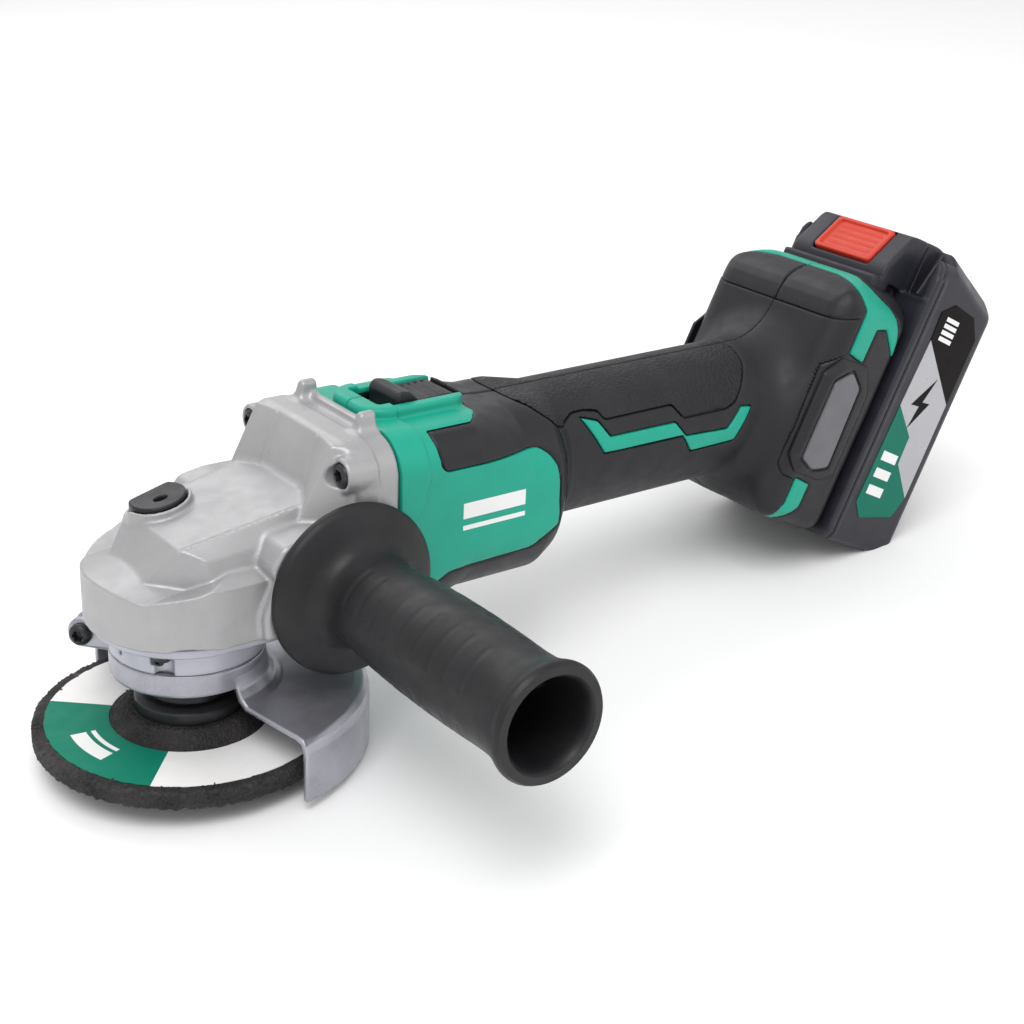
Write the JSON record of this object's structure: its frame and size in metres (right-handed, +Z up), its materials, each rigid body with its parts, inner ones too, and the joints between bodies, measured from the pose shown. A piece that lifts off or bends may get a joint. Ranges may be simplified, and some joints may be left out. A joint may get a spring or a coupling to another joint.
{
  "type": "angle grinder",
  "caption": "Cordless angle grinder with side handle, wheel guard, depressed-centre wheel and slide-on battery pack.",
  "frame": {"origin": "centre of the clamp nut's outer face, on the spindle axis", "axes": "+Z up the spindle towards the gear head, +X back along the motor to the battery, side handle towards -Y"},
  "size_m": [0.3868, 0.1965, 0.1351],
  "materials": {
    "cast_head": "satin painted casting, fine orange peel",
    "guard_zinc": "satin zinc-grey sheet steel",
    "green_plastic": "fine moulded texture",
    "soft_grip": "soft matt overmould",
    "black_plastic": "moulded glass-filled plastic",
    "handle_plastic": "matt moulded plastic",
    "battery_plastic": "fine spark-eroded texture",
    "red_plastic": "satin moulded plastic",
    "badge_grey": "satin moulded plastic",
    "label_film": "printed film",
    "wheel_paper": "printed paper, satin",
    "abrasive": "coarse resin-bonded grit",
    "steel": "turned steel",
    "dark_steel": "black-oxide steel",
    "lamination": "stacked electrical steel",
    "magnet": "nickel-plated magnet",
    "copper": "enamelled copper",
    "bronze": "sintered bronze",
    "circuit_board": "coated circuit board",
    "lead_insulation": "silicone lead",
    "seal_rubber": "felt and rubber seal",
    "cell_wrap": "shrink-wrapped cell"
  },
  "bodies": {
    "tool": {"gear_housing": "cast_head", "bearing_box": "cast_head", "bearing_box_screws": "dark_steel", "gear_housing_screws": "dark_steel", "bearing_retainer": "steel", "dust_seal": "seal_rubber", "spindle_top_bush": "bronze", "spindle_bearing_outer": "steel", "front_bearing_outer": "steel", "rear_bearing_outer": "steel", "stator_core": "lamination", "stator_windings": "copper", "sensor_board": "circuit_board", "air_baffle": "black_plastic", "housing_left": "green_plastic", "housing_right": "green_plastic", "grip_cover_left": "soft_grip", "grip_cover_right": "soft_grip", "body_screws": "dark_steel", "side_badges": "badge_grey", "switch_block": "black_plastic", "controller_tray": "black_plastic", "controller_board": "circuit_board", "power_leads": "lead_insulation", "terminal_block": "black_plastic", "terminal_blades": "copper", "spindle_lock_spring": "steel"},
    "spindle": {"spindle": "steel", "spindle_bearing_inner": "steel", "ring_gear": "dark_steel", "inner_flange": "dark_steel", "grinding_wheel": "abrasive", "wheel_bore_ring": "steel", "wheel_label": "wheel_paper", "lock_nut": "dark_steel"},
    "rotor": {"motor_shaft": "steel", "pinion_gear": "dark_steel", "fan": "black_plastic", "rotor_core": "lamination", "rotor_magnets": "magnet", "front_bearing_inner": "steel", "rear_bearing_inner": "steel"},
    "guard": {"wheel_guard": "guard_zinc", "guard_clamp_screw": "dark_steel"},
    "lock_button": {"spindle_lock_button": "black_plastic", "spindle_lock_pin": "steel"},
    "side_handle": {"side_handle_grip": "handle_plastic", "side_handle_stud": "steel"},
    "switch_slider": {"switch_knob": "black_plastic", "switch_link": "black_plastic"},
    "battery": {"battery_case_front": "battery_plastic", "battery_case_back": "battery_plastic", "battery_cells": "cell_wrap", "cell_holders": "black_plastic", "battery_board": "circuit_board", "battery_contacts": "copper", "battery_labels": "label_film", "battery_case_screws": "dark_steel"},
    "release_button": {"battery_release_button": "red_plastic"}
  },
  "joints": [
    {"name": "spindle_spin", "type": "hinge", "parent": "tool", "child": "spindle", "pos_m": [0, 0, 0], "axis": [0, 0, 1], "continuous": true},
    {"name": "rotor_spin", "type": "hinge", "parent": "tool", "child": "rotor", "pos_m": [0, 0, 0.064], "axis": [1, 0, 0], "continuous": true},
    {"name": "guard_turn", "type": "hinge", "parent": "tool", "child": "guard", "pos_m": [0, 0, 0.03], "axis": [0, 0, 1], "range_deg": [-90, 90]},
    {"name": "spindle_lock", "type": "slide", "parent": "tool", "child": "lock_button", "axis": [0, 0, -1], "range_m": [0, 0.0035], "stiffness_N_per_m": 400, "springref_m": -0.003, "deforming": ["spindle_lock_spring"]},
    {"name": "handle_unscrew", "type": "slide", "parent": "tool", "child": "side_handle", "axis": [0, -1, 0], "range_m": [0, 0.016]},
    {"name": "switch_slide", "type": "slide", "parent": "tool", "child": "switch_slider", "axis": [-1, 0, 0], "range_m": [0, 0.007], "stiffness_N_per_m": 250, "springref_m": -0.004},
    {"name": "battery_slide", "type": "slide", "parent": "tool", "child": "battery", "axis": [0.4384, 0, 0.8988], "range_m": [0, 0.09]},
    {"name": "battery_release", "type": "slide", "parent": "battery", "child": "release_button", "axis": [0.5563, 0, -0.831], "range_m": [0, 0.003], "stiffness_N_per_m": 500, "springref_m": -0.002}
  ],
  "couplings": [
    {"joint": "rotor_spin", "follows": "spindle_spin", "ratio": 3.3333}
  ]
}
